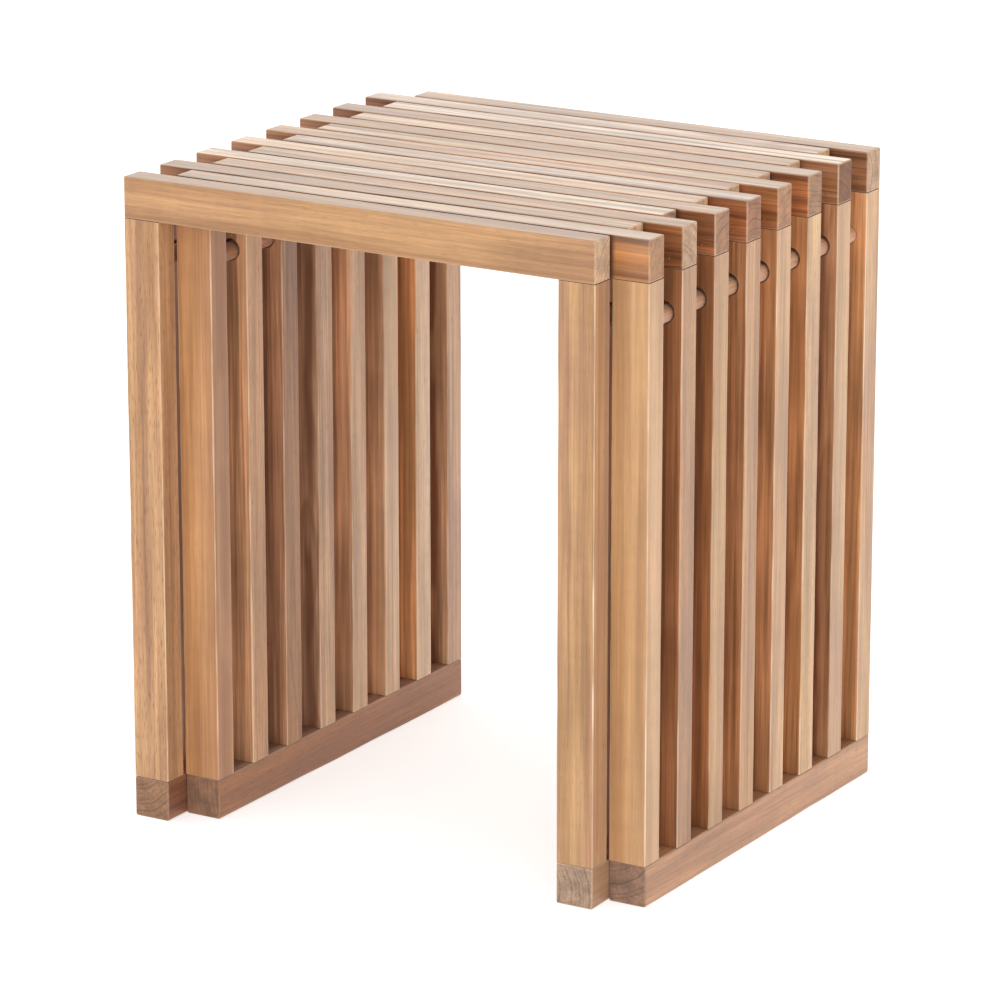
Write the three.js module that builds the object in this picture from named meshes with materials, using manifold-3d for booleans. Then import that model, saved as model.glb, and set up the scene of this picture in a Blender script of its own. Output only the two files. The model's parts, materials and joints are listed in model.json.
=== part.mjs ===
// Slatted wooden stool made of two comb frames that interleave and slide apart into a bench.
// Millimetres, +Z up. The front faces -Y and the right half slides out along +X.
// The origin is on the floor, at the centre of the closed stool's footprint.

import * as THREE from 'three';
import { mergeVertices } from 'three/addons/utils/BufferGeometryUtils.js';
import Module from 'manifold-3d';

const wasm = await Module();
wasm.setup();

// Driving dimensions.
const HEIGHT = 450;
const HALF_LENGTH = 363;
const LEG_WIDTH = 27.5;
const BAR_THICKNESS = 19;
const SLAT_HEIGHT = 28.5;
const RAIL_HEIGHT = 28.5;
const SLAT_GAP = 2.4;
const SLATS_PER_HALF = 8;
const ARRIS = 1.5;

// Joinery.
const FIT_GAP = 0.3;
const TENON_WIDTH = 17.5;
const TENON_THICKNESS = 9.5;
const TENON_LENGTH = 12;

// The dowel is glued into the end legs and passes through wider holes in the legs between them.
const DOWEL_DIAMETER = 12;
const DOWEL_BELOW_SLAT = 30.5;
const DOWEL_IN_END_LEG = 12;
const DOWEL_SIDES = 24;
const HOLE_DIAMETER = 15;
const HOLE_BELOW_SLAT = 29.5;

// Worked out from the driving dimensions.
const ROW_PITCH = BAR_THICKNESS + SLAT_GAP;
const SLAT_PITCH = 2 * ROW_PITCH;
const HALF_DEPTH = (SLATS_PER_HALF - 1) * SLAT_PITCH + BAR_THICKNESS;
const TOTAL_DEPTH = HALF_DEPTH + ROW_PITCH;
const TOTAL_WIDTH = HALF_LENGTH + LEG_WIDTH + FIT_GAP;
const LEG_LENGTH = HEIGHT - SLAT_HEIGHT - RAIL_HEIGHT;
const DOWEL_LENGTH = HALF_DEPTH - 2 * (BAR_THICKNESS - DOWEL_IN_END_LEG + FIT_GAP);

// Wood tones: the stool is laid up from boards that differ from piece to piece.
const WOOD = {
  honey: 0xc79a68,
  sand: 0xd9bf9d,
  rose: 0xb98f78,
  chestnut: 0x93613f,
  umber: 0x6b4630,
  birch: 0xcfae84,
};

function woodMaterial(tone) {
  return new THREE.MeshStandardMaterial({ color: WOOD[tone], roughness: 0.55, metalness: 0 });
}

// ---- solids ----

function solidFrom(geometry) {
  const merged = geometry.clone();
  merged.deleteAttribute('normal');
  merged.deleteAttribute('uv');
  const welded = mergeVertices(merged, 1e-4);
  const mesh = new wasm.Mesh({
    numProp: 3,
    vertProperties: new Float32Array(welded.attributes.position.array),
    triVerts: new Uint32Array(welded.index.array),
  });
  return new wasm.Manifold(mesh);
}

function geometryFrom(solid) {
  const mesh = solid.getMesh();
  const indexed = new THREE.BufferGeometry();
  indexed.setAttribute('position', new THREE.BufferAttribute(mesh.vertProperties, 3));
  indexed.setIndex(new THREE.BufferAttribute(mesh.triVerts, 1));
  indexed.computeVertexNormals();
  return indexed;
}

// A rectangle about the origin whose corners are cut at 45 degrees by the arris.
function arrisedRectangle(width, height) {
  const x = width / 2;
  const y = height / 2;
  const shape = new THREE.Shape();
  shape.moveTo(x - ARRIS, -y);
  shape.lineTo(x, -y + ARRIS);
  shape.lineTo(x, y - ARRIS);
  shape.lineTo(x - ARRIS, y);
  shape.lineTo(-x + ARRIS, y);
  shape.lineTo(-x, y - ARRIS);
  shape.lineTo(-x, -y + ARRIS);
  shape.lineTo(-x + ARRIS, -y);
  shape.closePath();
  return shape;
}

// A bar along +Z from z = 0, with its four long edges eased. Its ends are eased too unless square.
function bar(width, height, length, squareEnds = false) {
  const ease = squareEnds ? 0 : ARRIS;
  const geometry = new THREE.ExtrudeGeometry(arrisedRectangle(width, height), {
    depth: length - 2 * ease,
    bevelEnabled: !squareEnds,
    bevelThickness: ease,
    bevelSize: ease,
    bevelOffset: -ease,
    bevelSegments: 1,
  });
  return geometry.translate(0, 0, ease);
}

function box(width, depth, height, x, y, z) {
  return new THREE.BoxGeometry(width, depth, height).translate(x, y, z);
}

// The pocket that a tenon goes into, with the fit gap all round, opening at z and going up or down.
function mortise(x, y, z, direction) {
  const depth = TENON_LENGTH + FIT_GAP;
  const overcut = 1;
  return solidFrom(box(
    TENON_WIDTH + 2 * FIT_GAP,
    TENON_THICKNESS + 2 * FIT_GAP,
    depth + overcut,
    x,
    y,
    z + direction * (depth - overcut) / 2,
  ));
}

// A round bar along +Y from the given front end.
function roundBar(diameter, length, frontY, z) {
  const radius = diameter / 2;
  return new THREE.CylinderGeometry(radius, radius, length, DOWEL_SIDES)
    .translate(0, frontY + length / 2, z);
}

// ---- pieces ----

// Along +X from x = 0, centred on y = 0, resting on z = 0, with a mortise over each leg.
function slatGeometry() {
  const blank = bar(SLAT_HEIGHT, BAR_THICKNESS, HALF_LENGTH)
    .rotateY(Math.PI / 2)
    .translate(0, 0, SLAT_HEIGHT / 2);
  let solid = solidFrom(blank);
  for (const x of [LEG_WIDTH / 2, HALF_LENGTH - LEG_WIDTH / 2]) {
    solid = solid.subtract(mortise(x, 0, 0, 1));
  }
  return geometryFrom(solid);
}

// Standing on z = 0, centred on x = 0 and y = 0, with a tenon at each end and the dowel's hole.
function legGeometry(hole) {
  const tenonReach = LEG_LENGTH + 2 * TENON_LENGTH;
  const tenons = box(TENON_WIDTH, TENON_THICKNESS, tenonReach, 0, 0, LEG_LENGTH / 2);
  const shaft = bar(LEG_WIDTH, BAR_THICKNESS, LEG_LENGTH, true);
  return geometryFrom(solidFrom(shaft).add(solidFrom(tenons)).subtract(solidFrom(hole)));
}

function throughHole() {
  const overcut = 1;
  return roundBar(
    HOLE_DIAMETER,
    BAR_THICKNESS + 2 * overcut,
    -BAR_THICKNESS / 2 - overcut,
    LEG_LENGTH - HOLE_BELOW_SLAT,
  );
}

// Opens on the back of the front leg (side +1) or on the front of the back leg (side -1).
function blindHole(side) {
  const overcut = 1;
  const length = DOWEL_IN_END_LEG + overcut;
  const inner = BAR_THICKNESS / 2 - DOWEL_IN_END_LEG;
  return roundBar(
    DOWEL_DIAMETER + 2 * FIT_GAP,
    length,
    side > 0 ? inner : -inner - length,
    LEG_LENGTH - DOWEL_BELOW_SLAT,
  );
}

// Along +Y from y = 0, centred on x = 0, resting on z = 0, with a mortise under each leg.
function railGeometry() {
  const blank = bar(LEG_WIDTH, RAIL_HEIGHT, HALF_DEPTH)
    .rotateX(-Math.PI / 2)
    .translate(0, 0, RAIL_HEIGHT / 2);
  let solid = solidFrom(blank);
  for (let row = 0; row < SLATS_PER_HALF; row += 1) {
    const y = BAR_THICKNESS / 2 + row * SLAT_PITCH;
    solid = solid.subtract(mortise(0, y, RAIL_HEIGHT, -1));
  }
  return geometryFrom(solid);
}

// Along +Y from y = 0, centred on x = 0 and z = 0.
function dowelGeometry() {
  return geometryFrom(solidFrom(roundBar(DOWEL_DIAMETER, DOWEL_LENGTH, 0, 0)));
}

const shapes = {
  slat: slatGeometry(),
  frontLeg: legGeometry(blindHole(1)),
  middleLeg: legGeometry(throughHole()),
  backLeg: legGeometry(blindHole(-1)),
  rail: railGeometry(),
  dowel: dowelGeometry(),
};

// ---- assembly ----

function place(group, name, geometry, tone, x, y, z) {
  const mesh = new THREE.Mesh(geometry, woodMaterial(tone));
  mesh.name = name;
  mesh.position.set(x, y, z);
  group.add(mesh);
}

function legShape(row) {
  if (row === 0) {
    return shapes.frontLeg;
  }
  return row === SLATS_PER_HALF - 1 ? shapes.backLeg : shapes.middleLeg;
}

// One comb frame, as the left half sits: its outer legs are at the left end of its slats.
// number gives the name's number of a row counted from this frame's own front.
function combFrame(name, tones, number) {
  const half = new THREE.Group();
  half.name = name;
  const left = -TOTAL_WIDTH / 2;
  const front = -TOTAL_DEPTH / 2;
  const ends = { outer: left + LEG_WIDTH / 2, inner: left + HALF_LENGTH - LEG_WIDTH / 2 };

  for (let row = 0; row < SLATS_PER_HALF; row += 1) {
    const y = front + BAR_THICKNESS / 2 + row * SLAT_PITCH;
    const n = number(row);
    const slatTone = tones.slats[n - 1];
    place(half, `${name}_slat_${n}`, shapes.slat, slatTone, left, y, HEIGHT - SLAT_HEIGHT);
    for (const [end, x] of Object.entries(ends)) {
      const legTone = tones[end][n - 1];
      place(half, `${name}_${end}_leg_${n}`, legShape(row), legTone, x, y, RAIL_HEIGHT);
    }
  }
  for (const [end, x] of Object.entries(ends)) {
    const dowelFront = front + BAR_THICKNESS - DOWEL_IN_END_LEG + FIT_GAP;
    const dowelZ = HEIGHT - SLAT_HEIGHT - DOWEL_BELOW_SLAT;
    place(half, `${name}_${end}_rail`, shapes.rail, tones.rails, x, front, 0);
    place(half, `${name}_${end}_dowel`, shapes.dowel, 'birch', x, dowelFront, dowelZ);
  }
  return half;
}

const leftTones = {
  slats: ['honey', 'sand', 'rose', 'sand', 'sand', 'rose', 'sand', 'sand'],
  outer: ['honey', 'chestnut', 'umber', 'chestnut', 'umber', 'chestnut', 'umber', 'umber'],
  inner: ['honey', 'rose', 'chestnut', 'sand', 'rose', 'chestnut', 'sand', 'rose'],
  rails: 'rose',
};
const rightTones = {
  slats: ['sand', 'rose', 'sand', 'sand', 'rose', 'sand', 'sand', 'honey'],
  outer: ['honey', 'rose', 'sand', 'chestnut', 'sand', 'honey', 'umber', 'sand'],
  inner: ['honey', 'umber', 'chestnut', 'umber', 'umber', 'chestnut', 'honey', 'umber'],
  rails: 'rose',
};

const stool = new THREE.Group();
stool.name = 'slatted_stool';
stool.add(combFrame('left_half', leftTones, (row) => row + 1));

// The right half is the same frame turned half a turn, so its rows run from the back.
const rightHalf = combFrame('right_half', rightTones, (row) => SLATS_PER_HALF - row);
rightHalf.rotation.z = Math.PI;
stool.add(rightHalf);

export default stool;
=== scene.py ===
import json
import math
import random

import bmesh
import bpy
from mathutils import Matrix, Vector, noise


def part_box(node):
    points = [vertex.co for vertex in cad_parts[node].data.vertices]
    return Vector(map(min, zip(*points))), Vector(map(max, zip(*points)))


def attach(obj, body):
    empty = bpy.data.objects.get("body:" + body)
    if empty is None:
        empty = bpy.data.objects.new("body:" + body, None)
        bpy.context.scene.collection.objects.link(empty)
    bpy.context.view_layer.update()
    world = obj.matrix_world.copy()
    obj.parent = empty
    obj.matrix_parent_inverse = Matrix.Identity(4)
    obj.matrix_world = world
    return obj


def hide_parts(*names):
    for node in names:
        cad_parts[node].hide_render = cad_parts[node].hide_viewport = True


# Looks for a slatted wooden stool made of two comb frames that interleave and slide apart.
# Each wooden piece is lofted along its grain, cut for its joints, and given a solid wood material.

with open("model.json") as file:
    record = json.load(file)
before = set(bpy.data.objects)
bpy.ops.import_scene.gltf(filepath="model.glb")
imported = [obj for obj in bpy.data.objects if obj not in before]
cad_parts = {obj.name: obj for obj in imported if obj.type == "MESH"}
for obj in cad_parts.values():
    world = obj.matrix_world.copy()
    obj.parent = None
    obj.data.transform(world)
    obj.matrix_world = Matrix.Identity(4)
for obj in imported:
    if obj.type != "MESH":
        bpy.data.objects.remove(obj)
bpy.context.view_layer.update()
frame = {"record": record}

MM = 0.001
HALVES = ("left_half", "right_half")
ROWS = range(1, 9)
X, Y, Z = Vector((1, 0, 0)), Vector((0, 1, 0)), Vector((0, 0, 1))

# ---- sizes of what the frame doesn't hold, in metres ----

SLAT_ARRIS, SLAT_END_ROUND = 0.9 * MM, 1.1 * MM
LEG_ARRIS, LEG_END_ROUND = 0.85 * MM, 0.4 * MM
RAIL_ARRIS, RAIL_END_ROUND = 1.6 * MM, 1.1 * MM
ARRIS_WAVER = 0.28
WAVER_PERIOD = 42 * MM
SECTION_STEP = 7 * MM
ARC_STEPS = 4

TENON_LENGTH = 12 * MM
TENON_HALF_X, TENON_HALF_Y = 8.75 * MM, 4.75 * MM
TENON_ARRIS = 0.8 * MM
FIT_GAP = 0.3 * MM

HOLE_RADIUS, HOLE_BELOW_SLAT = 7.5 * MM, 29.5 * MM
HOLE_RIM = 0.5 * MM
BRAD_RADIUS, BRAD_DEPTH = 0.8 * MM, 0.35 * MM
BRAD_FROM_END, BRAD_ABOVE_LEG = 10 * MM, 6.5 * MM
BRAD_SIDES, DOWEL_SIDES, HOLE_SIDES = 12, 32, 40

# How far each row of a half stands off its even spacing, as hand-made bars do.
ROW_SHIFT = {
    "left_half": [0.0, -0.3, 0.15, -0.2, 0.2, 0.25, 0.0, 0.0],
    "right_half": [-0.7, -0.4, -0.2, 0.35, 0.1, 0.2, 0.2, 0.0],
}


# ---- meshes ----

def section(half_p, half_q, radii):
    """The points of a rectangle with rounded corners, anticlockwise, one radius per corner."""
    points = []
    corners = ((1, -1), (1, 1), (-1, 1), (-1, -1))
    for k, (sp, sq) in enumerate(corners):
        r = radii[k]
        centre_p, centre_q = sp * (half_p - r), sq * (half_q - r)
        start = math.radians(-90 + 90 * k)
        for step in range(ARC_STEPS + 1):
            a = start + math.radians(90) * step / ARC_STEPS
            points.append((centre_p + r * math.cos(a), centre_q + r * math.sin(a)))
    return points


def wavering(arris, along, seed):
    """The four arris radii at a place along the bar: sanded by hand, so never quite even."""
    places = [Vector((along / WAVER_PERIOD, 5.1 * k, seed)) for k in range(4)]
    return [arris * (1 + ARRIS_WAVER * noise.noise(place) * 2) for place in places]


def bar_sections(length, half_p, half_q, arris, end_round, seed, tenon=None):
    """(place along, points) for each section from one end to the other."""
    stations = []
    for step in range(ARC_STEPS + 1):
        a = math.radians(90) * step / ARC_STEPS
        stations.append((end_round * (1 - math.cos(a)), end_round * (1 - math.sin(a))))
    middle = round((length - 2 * end_round) / SECTION_STEP)
    span = length - 2 * end_round
    stations += [(end_round + span * k / middle, 0) for k in range(1, middle)]
    stations += [(length - along, inset) for along, inset in reversed(stations[: ARC_STEPS + 1])]
    made = []
    for along, inset in stations:
        radii = [max(r - 0.5 * inset, 0.3 * r) for r in wavering(arris, along, seed)]
        made.append((along, section(half_p - inset, half_q - inset, radii)))
    if tenon:
        points = section(*tenon, [TENON_ARRIS] * 4)
        made = [(-TENON_LENGTH, points), (0, points), *made]
        made += [(length, points), (length + TENON_LENGTH, points)]
    return made


def loft(name, sections, origin, axes):
    """A closed mesh through the sections. axes are the world directions of along, p and q."""
    along_axis, p_axis, q_axis = axes
    bm = bmesh.new()
    rings = []
    for along, points in sections:
        base = origin + along_axis * along
        rings.append([bm.verts.new(base + p_axis * p + q_axis * q) for p, q in points])
    for low, high in zip(rings, rings[1:]):
        for i, v in enumerate(low):
            j = (i + 1) % len(low)
            bm.faces.new((v, low[j], high[j], high[i]))
    bm.faces.new(list(reversed(rings[0])))
    bm.faces.new(rings[-1])
    return finished(name, bm)


def finished(name, bm):
    mesh = bpy.data.meshes.new(name)
    bm.normal_update()
    bm.to_mesh(mesh)
    bm.free()
    obj = bpy.data.objects.new(name, mesh)
    bpy.context.scene.collection.objects.link(obj)
    return obj


def add_box(bm, low, high):
    size = high - low
    at = Matrix.Translation((low + high) / 2) @ Matrix.Diagonal((*size, 1))
    bmesh.ops.create_cube(bm, size=1, matrix=at)


def add_turned(bm, profile, origin, direction, sides):
    """A closed body of revolution: profile is (along, radius) from its first face to its last."""
    turn = direction.to_track_quat("Z", "Y").to_matrix()
    rings = []
    for along, radius in profile:
        ring = []
        for i in range(sides):
            a = 2 * math.pi * i / sides
            spot = Vector((radius * math.cos(a), radius * math.sin(a), along))
            ring.append(bm.verts.new(origin + turn @ spot))
        rings.append(ring)
    for low, high in zip(rings, rings[1:]):
        for i in range(sides):
            j = (i + 1) % sides
            bm.faces.new((low[i], low[j], high[j], high[i]))
    bm.faces.new(list(reversed(rings[0])))
    bm.faces.new(rings[-1])


def cut(obj, cutter_bm):
    """Takes the cutter's solids out of obj."""
    cutter = finished(obj.name + "_cutter", cutter_bm)
    modifier = obj.modifiers.new("cut", "BOOLEAN")
    modifier.operation = "DIFFERENCE"
    modifier.solver = "MANIFOLD"
    modifier.object = cutter
    graph = bpy.context.evaluated_depsgraph_get()
    cut_mesh = bpy.data.meshes.new_from_object(obj.evaluated_get(graph), depsgraph=graph)
    obj.modifiers.clear()
    obj.data = cut_mesh
    bpy.data.objects.remove(cutter)


# In shares of the arris's radius: how near a vertex on a face is to it, and how far below both
# faces an arris gets its full worn pale and painted highlight.
ON_FACE, FULL_WEAR_SHINE = 0.4, 0.15


def paint_grain(
    obj, origin, axes, length, half_p, half_q, arris, end_round,
    painted_gap_shares=(0, 0), side="p", painted_shade_of=None,
):
    """Stores what the wood material reads at each vertex: the place in the board in millimetres,
    how near an arris it is for the worn pale and painted highlight, how far it is on an end, how
    much painted gap tone its low and high faces across p or q get in place of their light and
    shade, and how much painted shade its joints, corners and slits hold."""
    places, worn, ends, sheltered, joint_shades = [], [], [], [], []
    for v in obj.data.vertices:
        local = Vector([(v.co - origin).dot(axis) for axis in axes])
        places += [(local.x - length / 2) / MM, local.y / MM, local.z / MM]
        from_end = min(local.x, length - local.x)
        near = sorted((
            (half_p - abs(local.y)) / arris,
            (half_q - abs(local.z)) / arris,
            from_end / max(end_round, 0.5 * MM),
        ))
        place, half_width = (local.y, half_p) if side == "p" else (local.z, half_q)
        on_side = half_width - abs(place) < ON_FACE * arris
        worn.append(min(1.0, near[0] / FULL_WEAR_SHINE) if near[1] < 1 else 0.0)
        ends.append(max(0.0, min(1.0, 1 - from_end / max(end_round, 0.1 * MM))))
        joint_shades.append(painted_shade_of(local, ends[-1]) if painted_shade_of else 0.0)
        sheltered.append(painted_gap_shares[place > 0] if on_side else 0.0)
    store(obj.data, "grain", "FLOAT_VECTOR", "vector", places)
    named = {"arris": worn, "end": ends, "sheltered": sheltered, "seam": joint_shades}
    for name, values in named.items():
        store(obj.data, name, "FLOAT", "value", values)


def store(mesh, name, kind, field, values):
    attribute = mesh.attributes.new(name, kind, "POINT")
    attribute.data.foreach_set(field, values)


SHARP_FROM = math.radians(38)


def smooth(obj):
    for polygon in obj.data.polygons:
        polygon.use_smooth = True
    obj.data.set_sharp_from_angle(angle=SHARP_FROM)
    modifier = obj.modifiers.new("flat_faces_stay_flat", "WEIGHTED_NORMAL")
    modifier.keep_sharp = True
    modifier.weight = 100


# ---- node graphs ----

class Graph:
    """Short ways to add and link shader nodes."""

    def __init__(self, tree):
        self.tree = tree

    def node(self, kind, **settings):
        made = self.tree.nodes.new(kind)
        for key, value in settings.items():
            setattr(made, key, value)
        return made

    def put(self, value, socket):
        if isinstance(value, bpy.types.NodeSocket):
            self.tree.links.new(value, socket)
        elif value is not None:
            socket.default_value = value

    def math(self, operation, a, b=None, c=None, clamp=False):
        made = self.node("ShaderNodeMath", operation=operation, use_clamp=clamp)
        for value, socket in zip((a, b, c), made.inputs):
            self.put(value, socket)
        return made.outputs[0]

    def vector(self, operation, a, b=None, output=0):
        made = self.node("ShaderNodeVectorMath", operation=operation)
        self.put(a, made.inputs[0])
        self.put(b, made.inputs[1])
        return made.outputs[output]

    def mix(self, fac, a, b, blend="MIX"):
        made = self.node("ShaderNodeMix", data_type="RGBA", blend_type=blend, clamp_factor=True)
        self.put(fac, made.inputs[0])
        self.put(a, made.inputs[6])
        self.put(b, made.inputs[7])
        return made.outputs[2]

    def noise(self, place, scale=1.0, detail=2.0, roughness=0.5):
        made = self.node("ShaderNodeTexNoise", noise_dimensions="3D", normalize=True)
        self.put(place, made.inputs["Vector"])
        made.inputs["Scale"].default_value = scale
        made.inputs["Detail"].default_value = detail
        made.inputs["Roughness"].default_value = roughness
        return made.outputs["Fac"]

    def span(self, value, low, high, to_low=0.0, to_high=1.0, smooth_step=True):
        made = self.node("ShaderNodeMapRange", clamp=True)
        made.interpolation_type = "SMOOTHSTEP" if smooth_step else "LINEAR"
        self.put(value, made.inputs[0])
        for socket, bound in zip(made.inputs[1:5], (low, high, to_low, to_high)):
            self.put(bound, socket)
        return made.outputs[0]

    def combine(self, x, y, z):
        made = self.node("ShaderNodeCombineXYZ")
        for value, socket in zip((x, y, z), made.inputs):
            self.put(value, socket)
        return made.outputs[0]

    def separate(self, value):
        made = self.node("ShaderNodeSeparateXYZ")
        self.put(value, made.inputs[0])
        return made.outputs

    def ramp(self, fac, stops):
        made = self.node("ShaderNodeValToRGB")
        elements = made.color_ramp.elements
        while len(elements) < len(stops):
            elements.new(0.5)
        for element, (place, value) in zip(elements, stops):
            element.position = place
            element.color = (value, value, value, 1)
        self.put(fac, made.inputs[0])
        return made.outputs[0]


# ---- wood ----

WOOD_INPUTS = (
    ("Grain", "NodeSocketVector", None),
    ("Arris", "NodeSocketFloat", 0.0),
    ("End", "NodeSocketFloat", 0.0),
    ("Sheltered", "NodeSocketFloat", 0.0),
    ("Seam", "NodeSocketFloat", 0.0),
    ("Seed", "NodeSocketVector", (0, 0, 0)),
    ("Pith", "NodeSocketVector", (0, 0, 60)),
    ("Slope", "NodeSocketVector", (0, 0.02, 0.02)),
    ("Ring", "NodeSocketFloat", 3.0),
    ("Contrast", "NodeSocketFloat", 0.4),
    ("Streaks", "NodeSocketFloat", 0.3),
    ("Pores", "NodeSocketFloat", 0.3),
    ("Blushing", "NodeSocketFloat", 0.4),
    ("Worn", "NodeSocketFloat", 0.4),
    ("Heart", "NodeSocketVector", (0, 0, 0)),
    ("Heartwood", "NodeSocketFloat", 0.0),
    ("HeartTone", "NodeSocketColor", (0.1, 0.05, 0.03, 1)),
    ("HeartWidth", "NodeSocketFloat", 3.0),
    ("Light", "NodeSocketColor", (0.5, 0.3, 0.15, 1)),
    ("Mid", "NodeSocketColor", (0.4, 0.22, 0.1, 1)),
    ("Blush", "NodeSocketColor", (0.4, 0.22, 0.12, 1)),
    ("Dark", "NodeSocketColor", (0.25, 0.12, 0.05, 1)),
    ("Deep", "NodeSocketColor", (0.15, 0.06, 0.03, 1)),
    ("EndTone", "NodeSocketColor", (0.3, 0.15, 0.08, 1)),
    ("SideTone", "NodeSocketColor", (0.3, 0.11, 0.04, 1)),
)

WOOD_OUTPUTS = (
    ("Color", "NodeSocketColor"),
    ("Roughness", "NodeSocketFloat"),
    ("Normal", "NodeSocketVector"),
)

# Darker grain lines within the painted gap tone.
GAP_TONE_LINES = (0.50, 0.42, 0.36, 1)
# The pale of rubbed arrises, laid on as wear and as a painted highlight.
WEAR_AND_HIGHLIGHT_PALE = (0.78, 0.58, 0.40, 1)
# Painted shade in joints, corners and slits.
JOINT_SHADE_DARK = (0.10, 0.030, 0.007, 1)


def wood_group():
    """Solid wood: growth rings round a pith beside the board, fibres, pores, bands and streaks.
    Every pattern is long along the grain and narrow across it. Places are in millimetres."""
    tree = bpy.data.node_groups.new("solid_wood", "ShaderNodeTree")
    for name, kind, default in WOOD_INPUTS:
        socket = tree.interface.new_socket(name, in_out="INPUT", socket_type=kind)
        if default is not None:
            socket.default_value = default
    for name, kind in WOOD_OUTPUTS:
        tree.interface.new_socket(name, in_out="OUTPUT", socket_type=kind)
    g = Graph(tree)
    take = g.node("NodeGroupInput").outputs
    give = g.node("NodeGroupOutput").inputs

    seeded = g.vector("ADD", take["Grain"], take["Seed"])
    along = g.separate(take["Grain"])[0]
    on_end = take["End"]

    def drawn_out(along_rate, across_rate, detail, roughness=0.5):
        rates = (along_rate, across_rate, across_rate)
        return g.noise(g.vector("MULTIPLY", seeded, rates), 1.0, detail, roughness)

    # Growth rings: the distance from the pith's axis, which leans and wanders along the board.
    lean = g.vector("SCALE", take["Slope"])
    g.put(along, lean.node.inputs["Scale"])
    offset = g.vector("SUBTRACT", g.vector("SUBTRACT", take["Grain"], take["Pith"]), lean)
    across = g.vector("MULTIPLY", offset, (0, 1, 1))
    wander = g.math("MULTIPLY", drawn_out(0.006, 0.03, 2.0, 0.45), 10.0)
    radius = g.math("ADD", g.vector("LENGTH", across, output=1), wander)
    uneven = g.noise(g.combine(g.math("MULTIPLY", radius, 0.11), 0, take["Contrast"]), 1.0, 1.0)
    years = g.math("ADD", g.math("DIVIDE", radius, take["Ring"]), g.math("MULTIPLY", uneven, 2.5))
    ring = g.ramp(g.math("FRACT", years), ((0, 0.0), (0.5, 0.12), (0.84, 1.0), (1.0, 0.0)))
    strength = g.noise(g.combine(g.math("FLOOR", years), 3.7, 0), 0.83, 1.0)
    ring = g.math("MULTIPLY", ring, g.span(strength, 0.35, 0.68, 0.12, 1.0))

    band = g.span(drawn_out(0.004, 0.075, 1.0), 0.36, 0.64)
    patch = g.span(drawn_out(0.0065, 0.052, 1.0), 0.42, 0.66)
    fibre = drawn_out(0.024, 1.05, 2.0, 0.6)
    thread = drawn_out(0.008, 0.36, 2.0)
    streak = g.span(drawn_out(0.003, 0.24, 2.0), 0.56, 0.72)
    pore = g.span(drawn_out(0.13, 1.75, 0.0), 0.60, 0.76)
    shimmer = g.noise(g.vector("MULTIPLY", seeded, (0.09, 0.05, 0.05)), 1.0, 1.0)
    drift = drawn_out(0.013, 0.03, 1.0)
    stain = g.span(drawn_out(0.0035, 0.16, 3.0, 0.65), 0.44, 0.60)

    # A dark vein of heartwood that wanders along the board about one line.
    sway = g.math("SUBTRACT", drawn_out(0.009, 0.0, 2.0), 0.5)
    vein = g.vector("SUBTRACT", take["Grain"], take["Heart"])
    vein = g.vector("MULTIPLY", vein, (0, 1, 1))
    vein = g.vector("ADD", vein, g.combine(0, g.math("MULTIPLY", sway, 12.0), 0))
    reach = g.math("MULTIPLY", take["HeartWidth"], g.math("MULTIPLY_ADD", thread, 1.6, 0.4))
    vein = g.span(g.math("DIVIDE", g.vector("LENGTH", vein, output=1), reach), 0.25, 1.0, 1.0, 0.0)
    vein = g.math("MULTIPLY", vein, g.span(drift, 0.35, 0.5, 0.55, 1.0))

    tone = g.mix(band, take["Light"], take["Mid"])
    tone = g.mix(g.math("MULTIPLY", patch, take["Blushing"]), tone, take["Blush"])
    tone = g.mix(g.math("MULTIPLY", ring, take["Contrast"]), tone, take["Dark"])
    tone = g.mix(g.math("MULTIPLY", streak, take["Streaks"]), tone, take["Deep"])
    lively = g.math("MULTIPLY_ADD", take["Contrast"], 0.9, 0.25)
    uneven_light = 1.0
    broad = g.math("MULTIPLY", lively, 1.25)
    for pattern, depth in ((fibre, lively), (thread, broad), (shimmer, 0.16), (drift, 0.3)):
        varied = g.math("MULTIPLY_ADD", g.math("SUBTRACT", pattern, 0.5), depth, 1.0)
        uneven_light = g.math("MULTIPLY", uneven_light, varied)
    grey = g.combine(uneven_light, uneven_light, uneven_light)
    tone = g.mix(1.0, tone, grey, "MULTIPLY")

    # Lively boards are combed into lighter and darker lines.
    comb = g.math("SUBTRACT", drawn_out(0.006, 0.17, 2.0, 0.6), 0.5)
    comb_depth = g.math("MULTIPLY", g.math("POWER", take["Contrast"], 2.0), 1.0)
    comb = g.math("MULTIPLY_ADD", comb, comb_depth, 1.0)
    tone = g.mix(1.0, tone, g.combine(comb, comb, comb), "MULTIPLY")

    tone = g.mix(g.math("MULTIPLY", pore, take["Pores"]), tone, take["Deep"])

    # Ends drink more oil: rings stand out and the tubes show as specks.
    speck = g.noise(g.vector("MULTIPLY", seeded, (0.05, 0.8, 0.8)), 1.0, 3.0, 0.7)
    cloud = g.noise(g.vector("MULTIPLY", seeded, (0.02, 0.13, 0.13)), 1.0, 2.0)
    end_ring = g.math("MULTIPLY", ring, g.math("MULTIPLY_ADD", take["Contrast"], 0.25, 0.5))
    end_light = g.math("MULTIPLY_ADD", g.math("SUBTRACT", speck, 0.5), 1.5, 1.15)
    end_light = g.math("MULTIPLY", end_light, g.math("MULTIPLY_ADD", cloud, 1.1, 0.45))
    end_light = g.math("MULTIPLY", end_light, g.math("MULTIPLY_ADD", end_ring, -0.8, 1.0))
    end_grey = g.combine(end_light, end_light, end_light)
    end_tone = g.mix(1.0, take["EndTone"], end_grey, "MULTIPLY")
    tone = g.mix(on_end, tone, end_tone)
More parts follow.
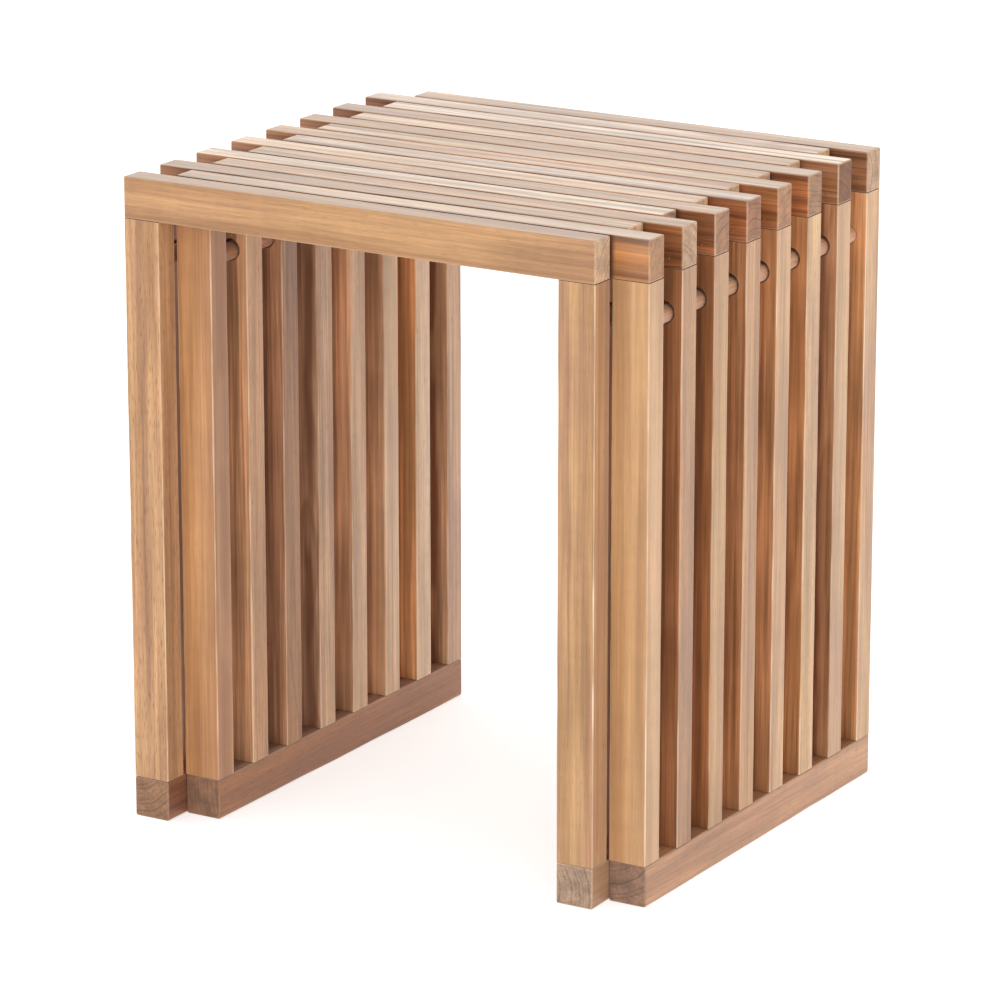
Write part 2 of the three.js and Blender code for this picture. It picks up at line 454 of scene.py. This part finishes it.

    # Faces in the gaps between neighbours get the painted gap tone in place of their light and
    # shade, arrises are rubbed pale as wear and painted highlight, and joints, corners and slits
    # get painted shade.
    gap_tone_pattern = g.math("MULTIPLY", uneven_light, g.math("MULTIPLY_ADD", band, -0.38, 1.2))
    gap_tone_pattern = g.math("MULTIPLY", gap_tone_pattern, g.math("MULTIPLY_ADD", drift, 0.45, 0.775))
    gap_tone_pattern = g.math("MULTIPLY", gap_tone_pattern, g.math("MULTIPLY_ADD", stain, -0.4, 1.15))
    gap_tone_grey = g.combine(gap_tone_pattern, gap_tone_pattern, gap_tone_pattern)
    painted_gap_tone = g.mix(1.0, take["SideTone"], gap_tone_grey, "MULTIPLY")
    dark_lines = g.math("MAXIMUM", g.math("MULTIPLY", ring, 0.7), g.math("MULTIPLY", streak, 0.9))
    dark_lines = g.math("MULTIPLY", dark_lines, g.math("MULTIPLY_ADD", take["Contrast"], 0.7, 0.4))
    painted_gap_tone = g.mix(dark_lines, painted_gap_tone, g.mix(1.0, painted_gap_tone, GAP_TONE_LINES, "MULTIPLY"))
    tone = g.mix(g.math("MULTIPLY", take["Sheltered"], 0.9), tone, painted_gap_tone)
    tone = g.mix(g.math("MULTIPLY", vein, take["Heartwood"]), tone, take["HeartTone"])
    # Arrises rubbed pale: wear, and a painted highlight of the light their rounding catches.
    wear_and_highlight = g.noise(g.vector("MULTIPLY", seeded, (0.02, 0.02, 0.02)), 1.0, 2.0)
    wear_and_highlight = g.math("MULTIPLY", g.span(wear_and_highlight, 0.35, 0.62, 0.3, 1.0), take["Worn"])
    wear_and_highlight = g.math("MULTIPLY", wear_and_highlight, g.span(take["Arris"], 0.0, 0.45))
    tone = g.mix(wear_and_highlight, tone, WEAR_AND_HIGHLIGHT_PALE)
    # Painted shade in joints, corners and slits, which are also made matte.
    painted_joint_shade = g.span(take["Seam"], 0.25, 0.75)
    tone = g.mix(painted_joint_shade, tone, JOINT_SHADE_DARK)
    g.put(tone, give["Color"])

    rough = g.math("MULTIPLY_ADD", fibre, 0.2, 0.26)
    rough = g.math("ADD", rough, g.math("MULTIPLY", pore, 0.1))
    rough = g.math("ADD", rough, g.math("MULTIPLY", painted_joint_shade, 0.6))
    rough = g.math("ADD", rough, g.math("MULTIPLY", on_end, 0.4), clamp=True)
    g.put(rough, give["Roughness"])

    height = g.math("MULTIPLY", fibre, 0.5)
    height = g.math("SUBTRACT", height, g.math("MULTIPLY", pore, 0.5))
    height = g.math("SUBTRACT", height, g.math("MULTIPLY", ring, 0.2))
    bump = g.node("ShaderNodeBump")
    bump.inputs["Strength"].default_value = 0.35
    bump.inputs["Distance"].default_value = 0.1 * MM
    g.put(height, bump.inputs["Height"])
    g.put(bump.outputs[0], give["Normal"])
    return tree


def rgb(code):
    """A hex colour as the linear numbers that shaders take."""
    parts = [int(code[i : i + 2], 16) / 255 for i in (0, 2, 4)]
    return (*[c / 12.92 if c <= 0.04045 else ((c + 0.055) / 1.055) ** 2.4 for c in parts], 1)


def tinted(colour, tint):
    return (*[part * share for part, share in zip(colour, tint)], 1)


# How the colours of a board stand to its mean colour.
TINTS = {
    "Light": (1.28, 1.34, 1.42),
    "Mid": (0.94, 0.91, 0.87),
    "Blush": (0.98, 0.93, 1.16),
    "Dark": (0.66, 0.53, 0.43),
    "Deep": (0.42, 0.27, 0.20),
}

# The mean colour of each of the record's tones.
SHADES = {
    "honey": "b38659", "sand": "bd966e", "rose": "aa8165",
    "chestnut": "a2724d", "umber": "987055", "birch": "a0745a",
}

# Boards that are chosen one by one. What a board doesn't state is left to its own chance.
# A board's side colour is painted on its faces in the gaps between neighbours in place of their
# light and shade: darker than the board where it paints shade, lighter where it paints light.
BOARDS = {
    "left_half_slat_1": dict(
        shade="a77b4f", end="b69475", ring=2.6, contrast=0.35, streaks=0.15, pores=0.2,
        blushing=0.5, worn=0.15, pith=(34, -32),
    ),
    "left_half_slat_2": dict(shade="b48c64"),
    "left_half_slat_3": dict(shade="d8bc9b"),
    "left_half_slat_4": dict(shade="cfaa83", side="a8704a"),
    "left_half_slat_5": dict(shade="bf9062", side="b2784e"),
    "left_half_slat_6": dict(shade="b88c5d", side="ae7a56"),
    "left_half_slat_7": dict(shade="b98c61"),
    "left_half_slat_8": dict(shade="c9a88a"),
    "right_half_slat_1": dict(
        shade="c29e7a", end="976a44", contrast=0.4, heart=(-9.5, 12), heartwood=0.95,
        heartwidth=4.2, side="b46a24", hearttone="6e4c38",
    ),
    "right_half_slat_2": dict(shade="b88d5f", side="905733", end="a37f5f", pith=(-30, -45)),
    "right_half_slat_3": dict(shade="bf966c", side="995c38", end="8e6240", pith=(20, -28)),
    "right_half_slat_4": dict(
        shade="c8aa8d", side="97552a", end="8a5832", pith=(6, -30), ring=3.4,
        heart=(-9, 14), heartwood=0.7, heartwidth=4,
    ),
    "right_half_slat_5": dict(shade="bc9870", side="965a33", end="986943"),
    "right_half_slat_6": dict(shade="c6a27e", side="a55f31", end="8e6442"),
    "right_half_slat_7": dict(shade="dbbfa1", side="9c643d", end="6d3c0c"),
    "right_half_slat_8": dict(shade="be956b", side="926143", end="a68264"),
    "left_half_outer_leg_1": dict(
        shade="b08358", ring=3.5, contrast=0.4, streaks=0.4, pores=0.6, blushing=0.3,
        worn=0.7, heart=(-1, -9.5), heartwood=0.35,
    ),
    "left_half_inner_leg_1": dict(
        shade="ac8255", contrast=0.3, streaks=0.3, pores=0.2, blushing=0.9, worn=1.0,
        heart=(13.5, -3.5), heartwood=0.8, heartwidth=2.2, hearttone="aa6c40",
    ),
    # The wide dark vein on this leg's right face is painted shade, darkening the face that lies in
    # shade.
    "right_half_inner_leg_1": dict(
        shade="b27f51", contrast=0.3, streaks=0.2, pores=0.1, blushing=0.3, worn=0.7,
        heart=(13, 1), heartwood=0.6, heartwidth=8, hearttone="8a5220",
    ),
    "right_half_inner_leg_2": dict(shade="bb8b5d", side="d29e76", worn=0.9, streaks=0.2),
    "right_half_inner_leg_3": dict(
        shade="966534", side="b08263", contrast=0.6, streaks=0.6, pores=0.4,
    ),
    "right_half_inner_leg_4": dict(
        shade="b0865e", side="bf9374", contrast=0.7, streaks=0.5, heart=(6, -9.5),
        heartwood=0.8, heartwidth=5,
    ),
    "right_half_inner_leg_5": dict(shade="bc936b", side="d9a27b", streaks=0.3, worn=0.7),
    "right_half_inner_leg_6": dict(shade="c7a077", side="c99b77", streaks=0.4),
    "right_half_inner_leg_7": dict(
        shade="c6a27c", side="eaa871", contrast=0.4, streaks=0.2, worn=0.9,
    ),
    "right_half_inner_leg_8": dict(
        shade="ae855f", side="cea684", streaks=0.4, heart=(0, -9.5), heartwood=0.85,
        heartwidth=6,
    ),
    "right_half_outer_leg_1": dict(
        shade="b3875a", contrast=0.12, streaks=0.05, pores=0.1, blushing=0.15, worn=0.9,
    ),
    "right_half_outer_leg_2": dict(
        shade="996c41", side="a06a46", blushing=0.8, streaks=0.4, pores=0.4,
    ),
    "right_half_outer_leg_3": dict(
        shade="a67b4a", side="a76d45", contrast=0.4, streaks=0.4, heart=(4, -9.5),
        heartwood=0.5,
    ),
    "right_half_outer_leg_4": dict(shade="a87949", side="a5724e", contrast=0.6, streaks=0.4),
    "right_half_outer_leg_5": dict(shade="b3875a", side="bf8459", contrast=0.5, streaks=0.3),
    "right_half_outer_leg_6": dict(shade="bf9460", side="d19160", contrast=0.5, streaks=0.3),
    "right_half_outer_leg_7": dict(
        shade="ad8458", side="aa7b59", contrast=0.4, streaks=0.2, heart=(1, -9.5),
        heartwood=0.85, heartwidth=4.5,
    ),
    "right_half_outer_leg_8": dict(
        shade="b38757", side="d39666", contrast=0.5, streaks=0.3, worn=1.0,
    ),
    # This rail's dark shade is painted shade from the narrow gap its inner face lies in.
    "left_half_outer_rail": dict(shade="7e481e", end="866146", contrast=0.8, streaks=0.5),
    "left_half_inner_rail": dict(
        shade="9f734d", end="947964", contrast=0.3, streaks=0.2, worn=0.8,
    ),
    "right_half_inner_rail": dict(
        shade="8a511a", side="b09c90", end="7a563f", contrast=0.4, streaks=0.3,
    ),
    "right_half_outer_dowel": dict(shade="bd9070"),
    "right_half_inner_dowel": dict(shade="b08262"),
    "right_half_outer_rail": dict(
        shade="a16f44", side="987058", end="81624f", contrast=0.45, streaks=0.1, ring=3.6,
        pith=(26, -8),
    ),
}

# The dry surface scatters light at a glance like cloth does. Each material also has a shaded copy
# with hardly any sheen, laid as painted shade on faces with painted gap tone or painted joint
# shade.
OPEN_SHEEN, SHADED_COPY_SHEEN = 0.5, 0.05
SHADED_COPY_FROM = 0.3
WOOD = wood_group()
ATTRIBUTES = {
    "Grain": "grain", "Arris": "arris", "End": "end", "Sheltered": "sheltered", "Seam": "seam",
}


def wood_material(name, sheen, shade, end, side, seed, pith, slope, heart, hearttone, **shares):
    material = bpy.data.materials.new(name)
    material.use_nodes = True
    g = Graph(material.node_tree)
    shader = material.node_tree.nodes["Principled BSDF"]
    shader.inputs["IOR"].default_value = 1.5
    shader.inputs["Sheen Weight"].default_value = sheen
    shader.inputs["Sheen Roughness"].default_value = 0.4
    wood = g.node("ShaderNodeGroup", node_tree=WOOD)
    for socket, attribute in ATTRIBUTES.items():
        read = g.node("ShaderNodeAttribute", attribute_name=attribute)
        g.put(read.outputs["Vector" if socket == "Grain" else "Fac"], wood.inputs[socket])
    values = {
        "Seed": seed, "Pith": (0, *pith), "Slope": (0, *slope), "Heart": (0, *heart),
        "EndTone": rgb(end), "SideTone": rgb(side), "HeartWidth": shares.pop("heartwidth"),
        "HeartTone": rgb(hearttone),
    }
    values |= {key.capitalize(): share for key, share in shares.items()}
    values |= {key: tinted(rgb(shade), tint) for key, tint in TINTS.items()}
    for key, value in values.items():
        wood.inputs[key].default_value = value
    for key in ("Color", "Roughness", "Normal"):
        g.put(wood.outputs[key], shader.inputs["Base Color" if key == "Color" else key])
    return material


# What chance picks a board's shares from.
USUAL_SHARES = {"contrast": (0.3, 0.7), "streaks": (0.2, 0.6), "blushing": (0.2, 0.8)}
SLAT_SHARES = {"contrast": (0.8, 1.1), "streaks": (0.5, 0.9), "blushing": (0.0, 0.3)}
# How much wear and painted highlight the arrises of rails, slats and legs get.
RAIL_WEAR_SHINE, SLAT_WEAR_SHINE, LEG_WEAR_SHINE = 0.15, 0.4, (0.4, 0.8)


def look_of(node):
    """The wood of one piece: its own board where one is stated, and chance for the rest."""
    slot = slots[node]
    shade = SHADES[slot.removeprefix("wood_")]
    chance = random.Random(node)
    pith_side = chance.uniform(0, 2 * math.pi)
    distance = chance.uniform(25, 75)
    shares = SLAT_SHARES if "slat" in node else USUAL_SHARES
    look = {
        "shade": shade,
        "end": shade,
        # The tone painted on faces in gaps in place of their light and shade.
        "side": "945e39",
        "seed": [chance.uniform(-4000, 4000) for _ in range(3)],
        "pith": (distance * math.cos(pith_side), distance * math.sin(pith_side)),
        "ring": chance.uniform(2.4, 4.4),
        "contrast": chance.uniform(*shares["contrast"]),
        "streaks": chance.uniform(*shares["streaks"]),
        "pores": chance.uniform(0.1, 0.4),
        "blushing": chance.uniform(*shares["blushing"]),
        "worn": chance.uniform(*LEG_WEAR_SHINE) if "leg" in node else SLAT_WEAR_SHINE,
        "slope": (chance.uniform(-0.03, 0.03), chance.uniform(-0.03, 0.03)),
        "heart": (0, 0),
        "heartwood": 0.0,
        "hearttone": "6b4430",
        "heartwidth": 3.0,
    }
    if "rail" in node:
        look["worn"] = RAIL_WEAR_SHINE
    return slot, look | BOARDS.get(node, {})


slots = {row["node"]: row["material_slot"] for row in frame["record"]["subparts"]}


def dress(obj, node, half):
    """Gives a finished piece its wood and puts it on its half in place of the CAD node."""
    slot, look = look_of(node)
    obj.data.materials.clear()
    # Two copies of the wood: the lit one, and a shaded one with hardly any sheen as painted shade,
    # for faces that carry enough painted gap tone or painted joint shade.
    for layer, sheen in (("open", OPEN_SHEEN), ("sheltered", SHADED_COPY_SHEEN)):
        obj.data.materials.append(wood_material(f"{layer}_wood_of_{node}", sheen, **look))
    vertex_shade = [a.value + b.value for a, b in zip(
        obj.data.attributes["sheltered"].data, obj.data.attributes["seam"].data,
    )]
    for polygon in obj.data.polygons:
        share = sum(vertex_shade[i] for i in polygon.vertices) / len(polygon.vertices)
        polygon.material_index = 1 if share > SHADED_COPY_FROM else 0
    smooth(obj)
    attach(obj, half)
    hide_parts(node)


# ---- pieces ----

def shift_of(half, row):
    return Y * ROW_SHIFT[half][row - 1] * MM


def ends_in_x(half):
    """{end: the middle of its legs in x} of a half."""
    return {
        end: sum(corner[0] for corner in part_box(f"{half}_{end}_rail")) / 2
        for end in ("outer", "inner")
    }


# How much of the painted gap tone, painted shade on the slats, the front and back faces of the
# slats at the seat's two edges get.
SLAT_PAINTED_GAP_SHARES = {
    ("left_half", 1): (0.0, 1.0),
    ("right_half", 1): (0.8, 1.0),
    ("right_half", 8): (1.0, 0.0),
}
# How dark the painted shade is in the corners between the two halves' legs. The front legs' front
# gets none.
CORNER_SHADE = 0.7
# How dark the painted shade in each slit between two slats is, from the front of the seat to its
# back.
SLIT_SHADE = [0.75, 0.35, 0.3, 0.1, 0.6, 0.1, 0.3, 0.5, 0.3, 0.45, 0.45, 0.0, 0.4, 0.15, 0.3]
# The tops of the floor rails between the legs get the painted gap tone, as painted shade.
RAIL_TOP_PAINTED_SHADE = (0.0, 0.5)


def slit_in_x():
    """The stretch where slats of both halves lie side by side."""
    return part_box("right_half_slat_1")[0][0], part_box("left_half_slat_1")[1][0]


def make_slat(half, row):
    node = f"{half}_slat_{row}"
    low, high = (Vector(c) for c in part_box(node))
    low, high = low + shift_of(half, row), high + shift_of(half, row)
    middle = (low + high) / 2
    length, half_p, half_q = high.x - low.x, (high.y - low.y) / 2, (high.z - low.z) / 2
    origin = Vector((low.x, middle.y, middle.z))
    axes = (X, Y, Z)
    sections = bar_sections(length, half_p, half_q, SLAT_ARRIS, SLAT_END_ROUND, noise_seed(node))
    obj = loft("seat_" + node, sections, origin, axes)

    cutter = bmesh.new()
    wide, deep = TENON_HALF_X + FIT_GAP, TENON_HALF_Y + FIT_GAP
    facing = -1 if half == "right_half" else 1
    face_y = middle.y + facing * half_p
    for x in ends_in_x(half).values():
        add_box(
            cutter,
            Vector((x - wide, middle.y - deep, low.z - MM)),
            Vector((x + wide, middle.y + deep, low.z + TENON_LENGTH + FIT_GAP)),
        )
    for x in brad_places(low.x, high.x):
        start = Vector((x, face_y - facing * BRAD_DEPTH, low.z + BRAD_ABOVE_LEG))
        add_turned(cutter, ((0, BRAD_RADIUS), (MM, BRAD_RADIUS)), start, Y * facing, BRAD_SIDES)
    cut(obj, cutter)
    painted_gap_shares = SLAT_PAINTED_GAP_SHARES.get((half, row), (1.0, 1.0))
    slit_low, slit_high = slit_in_x()

    slats_before = len(HALVES) * (row - 1) + HALVES.index(half)
    painted_shade_of = [0.0, *SLIT_SHADE, 0.0][slats_before : slats_before + 2]

    def slit_shade(local, on_end):
        """Painted shade in the slits before and behind this slat."""
        inside = slit_low < origin.x + local.x < slit_high
        on_side = half_p - abs(local.y) < ON_FACE * SLAT_ARRIS
        return painted_shade_of[local.y > 0] if inside and on_side else 0.0

    paint_grain(
        obj, origin, axes, length, half_p, half_q, SLAT_ARRIS, SLAT_END_ROUND, painted_gap_shares,
        painted_shade_of=slit_shade,
    )
    dress(obj, node, half)
    return [
        (Vector((x, face_y, low.z + BRAD_ABOVE_LEG)), Y * facing)
        for x in brad_places(low.x, high.x)
    ]


def brad_places(low_x, high_x):
    return (low_x + BRAD_FROM_END, high_x - BRAD_FROM_END)


def noise_seed(node):
    return random.Random(node + " arris").uniform(0, 500)


def make_leg(half, end, row):
    node = f"{half}_{end}_leg_{row}"
    low, high = (Vector(c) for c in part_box(node))
    low, high = low + shift_of(half, row), high + shift_of(half, row)
    middle = (low + high) / 2
    foot, top = low.z + TENON_LENGTH, high.z - TENON_LENGTH
    length, half_p, half_q = top - foot, (high.x - low.x) / 2, (high.y - low.y) / 2
    origin = Vector((middle.x, middle.y, foot))
    axes = (Z, X, Y)
    sections = bar_sections(
        length, half_p, half_q, LEG_ARRIS, LEG_END_ROUND, noise_seed(node),
        tenon=(TENON_HALF_X, TENON_HALF_Y),
    )
    obj = loft(node.replace("leg", "leg_bar"), sections, origin, axes)

    cutter = bmesh.new()
    hole_z = top - HOLE_BELOW_SLAT
    deep = (high.y - low.y) + 2 * MM
    front = Vector((middle.x, low.y - MM, hole_z))
    if is_end_row(low.y, high.y, half):
        dowel_low, dowel_high = (Vector(c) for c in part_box(f"{half}_{end}_dowel"))
        radius = (dowel_high.z - dowel_low.z) / 2 + FIT_GAP
        inward = 1 if middle.y < (dowel_low.y + dowel_high.y) / 2 else -1
        tip = dowel_low.y if inward > 0 else dowel_high.y
        start = Vector((middle.x, tip - inward * FIT_GAP, (dowel_low.z + dowel_high.z) / 2))
        add_turned(cutter, ((0, radius), (deep, radius)), start, Y * inward, DOWEL_SIDES)
    else:
        rim = HOLE_RADIUS + HOLE_RIM + MM
        profile = (
            (0, rim), (MM + HOLE_RIM, HOLE_RADIUS),
            (deep - MM - HOLE_RIM, HOLE_RADIUS), (deep, rim),
        )
        add_turned(cutter, profile, front, Y, HOLE_SIDES)
    cut(obj, cutter)
    facing = 1 if half == "left_half" else -1

    def joint_and_corner_shade(local, on_end):
        """Painted shade where the leg's ends close on the slat and rail, and where the arrises
        that face the other half's legs nearly touch them."""
        in_corner = max(half_p - facing * local.y, half_q - abs(local.z)) < 0.6 * LEG_ARRIS
        unshaded_front = node in ("left_half_outer_leg_1", "left_half_inner_leg_1") and local.z < 0
        return max(on_end, CORNER_SHADE if in_corner and not unshaded_front else 0.0)

    # The leg's faces towards the rows before and behind get the painted gap tone; the outer faces
    # of the first and last rows don't.
    painted_gap_shares = (0.0 if row == 1 else 1.0, 0.0 if row == len(ROWS) else 1.0)
    paint_grain(
        obj, origin, axes, length, half_p, half_q, LEG_ARRIS, LEG_END_ROUND, painted_gap_shares, side="q",
        painted_shade_of=joint_and_corner_shade,
    )
    dress(obj, node, half)


def is_end_row(low_y, high_y, half):
    """True for the first and the last leg of a row, which hold the dowel's ends."""
    rail_low, rail_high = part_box(f"{half}_outer_rail")
    near = 2 * MM
    return low_y < rail_low[1] + near or high_y > rail_high[1] - near


def make_rail(half, end):
    node = f"{half}_{end}_rail"
    low, high = (Vector(c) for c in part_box(node))
    middle = (low + high) / 2
    length, half_p, half_q = high.y - low.y, (high.z - low.z) / 2, (high.x - low.x) / 2
    origin = Vector((middle.x, low.y, middle.z))
    axes = (Y, Z, X)
    sections = bar_sections(length, half_p, half_q, RAIL_ARRIS, RAIL_END_ROUND, noise_seed(node))
    obj = loft(node.replace("rail", "floor_rail"), sections, origin, axes)

    cutter = bmesh.new()
    wide, deep = TENON_HALF_X + FIT_GAP, TENON_HALF_Y + FIT_GAP
    for row in ROWS:
        leg_low, leg_high = (Vector(c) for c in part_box(f"{half}_{end}_leg_{row}"))
        y = (leg_low.y + leg_high.y) / 2 + shift_of(half, row).y
        add_box(
            cutter,
            Vector((middle.x - wide, y - deep, high.z - TENON_LENGTH - FIT_GAP)),
            Vector((middle.x + wide, y + deep, high.z + MM)),
        )
    cut(obj, cutter)
    paint_grain(
        obj, origin, axes, length, half_p, half_q, RAIL_ARRIS, RAIL_END_ROUND, RAIL_TOP_PAINTED_SHADE,
    )
    dress(obj, node, half)


def make_dowel(half, end):
    node = f"{half}_{end}_dowel"
    low, high = (Vector(c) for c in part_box(node))
    middle = (low + high) / 2
    radius, length = (high.z - low.z) / 2, high.y - low.y
    ease = 0.8 * MM
    middle_steps = 30
    profile = [(0, radius - ease), (ease, radius)]
    step = (length - 2 * ease) / middle_steps
    profile += [(ease + step * k, radius) for k in range(1, middle_steps)]
    profile += [(length - ease, radius), (length, radius - ease)]
    origin = Vector((middle.x, low.y, middle.z))
    bm = bmesh.new()
    add_turned(bm, profile, origin, Y, DOWEL_SIDES)
    obj = finished(node.replace("dowel", "dowel_rod"), bm)
    paint_grain(obj, origin, (Y, Z, X), length, radius, radius, 0.01 * MM, ease)
    dress(obj, node, half)


def make_brads(half, places):
    """The heads of the brads that pin the tenons, sunk a little in the slats' faces."""
    bm = bmesh.new()
    off_the_bottom, sunk = 0.02 * MM, 0.12 * MM
    rim, crown = 0.95 * BRAD_RADIUS, 0.5 * BRAD_RADIUS
    profile = ((0, rim), (0.6 * BRAD_DEPTH, rim), (BRAD_DEPTH - sunk, crown))
    for spot, outward in places:
        start = spot - outward * (BRAD_DEPTH - off_the_bottom)
        add_turned(bm, profile, start, outward, BRAD_SIDES)
    obj = finished(half + "_brads", bm)
    obj.data.materials.append(brad_material())
    smooth(obj)
    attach(obj, half)


def brad_material():
    name = "filled_brad"
    if name in bpy.data.materials:
        return bpy.data.materials[name]
    material = bpy.data.materials.new(name)
    material.use_nodes = True
    g = Graph(material.node_tree)
    shader = material.node_tree.nodes["Principled BSDF"]
    place = g.node("ShaderNodeTexCoord").outputs["Object"]
    blotch = g.noise(place, 900.0, 2.0)
    g.put(g.mix(blotch, rgb("b98f6e"), rgb("7b573e")), shader.inputs["Base Color"])
    g.put(g.span(blotch, 0.3, 0.7, 0.45, 0.7), shader.inputs["Roughness"])
    return material


for half in HALVES:
    brads = []
    for row in ROWS:
        brads += make_slat(half, row)
        for end in ("outer", "inner"):
            make_leg(half, end, row)
    for end in ("outer", "inner"):
        make_rail(half, end)
        make_dowel(half, end)
    make_brads(half, brads)


# ---- stage, light and camera ----

FLOOR_HALF_SIZE, FLOOR_GLOW = 14.0, 0.5
SKY_AT_HORIZON, SKY_OVERHEAD = 1.15, 1.0
CAMERA_AT = (1.8153, -3.0243, 1.2349)
CAMERA_YAW, CAMERA_PITCH = math.radians(31.045), math.radians(16.162)
CAMERA_LENS, CAMERA_SENSOR = 192.85, 36


def make_floor():
    """A white sheet lit through from below, so that hardly any shadow falls on it."""
    bm = bmesh.new()
    bmesh.ops.create_grid(bm, x_segments=2, y_segments=2, size=FLOOR_HALF_SIZE)
    floor = finished("studio_floor", bm)
    material = bpy.data.materials.new("studio_white")
    material.use_nodes = True
    shader = material.node_tree.nodes["Principled BSDF"]
    shader.inputs["Base Color"].default_value = (0.82, 0.82, 0.82, 1)
    shader.inputs["Roughness"].default_value = 0.9
    shader.inputs["Specular IOR Level"].default_value = 0.1
    shader.inputs["Emission Color"].default_value = (1, 1, 1, 1)
    shader.inputs["Emission Strength"].default_value = FLOOR_GLOW
    floor.data.materials.append(material)


def make_world():
    """A white tent, brighter round its walls than overhead."""
    world = bpy.data.worlds.new("studio_air")
    world.use_nodes = True
    g = Graph(world.node_tree)
    background = world.node_tree.nodes["Background"]
    background.inputs["Color"].default_value = (1, 1, 1, 1)
    height = g.separate(g.node("ShaderNodeTexCoord").outputs["Generated"])[2]
    strength = g.span(height, 0.0, 0.9, SKY_AT_HORIZON, SKY_OVERHEAD)
    g.put(strength, background.inputs["Strength"])
    bpy.context.scene.world = world


def make_softbox(name, place, target, size, power):
    light = bpy.data.lights.new(name, "AREA")
    light.shape = "RECTANGLE"
    light.size, light.size_y = size
    light.energy = power
    obj = bpy.data.objects.new(name, light)
    obj.location = place
    obj.rotation_euler = (Vector(target) - Vector(place)).to_track_quat("-Z", "Y").to_euler()
    bpy.context.scene.collection.objects.link(obj)


def make_camera():
    camera = bpy.data.cameras.new("camera")
    camera.sensor_width = CAMERA_SENSOR
    camera.lens = CAMERA_LENS
    camera.clip_end = 100
    obj = bpy.data.objects.new("camera", camera)
    obj.location = CAMERA_AT
    obj.rotation_euler = (math.radians(90) - CAMERA_PITCH, 0, CAMERA_YAW)
    bpy.context.scene.collection.objects.link(obj)
    bpy.context.scene.camera = obj


make_camera()
make_floor()
make_world()
make_softbox("front_softbox", (1.0, -3.0, 1.2), (0, 0, 0.25), (1.8, 1.8), 14)
bpy.context.scene.view_settings.view_transform = "Standard"
bpy.context.scene.view_settings.look = "None"
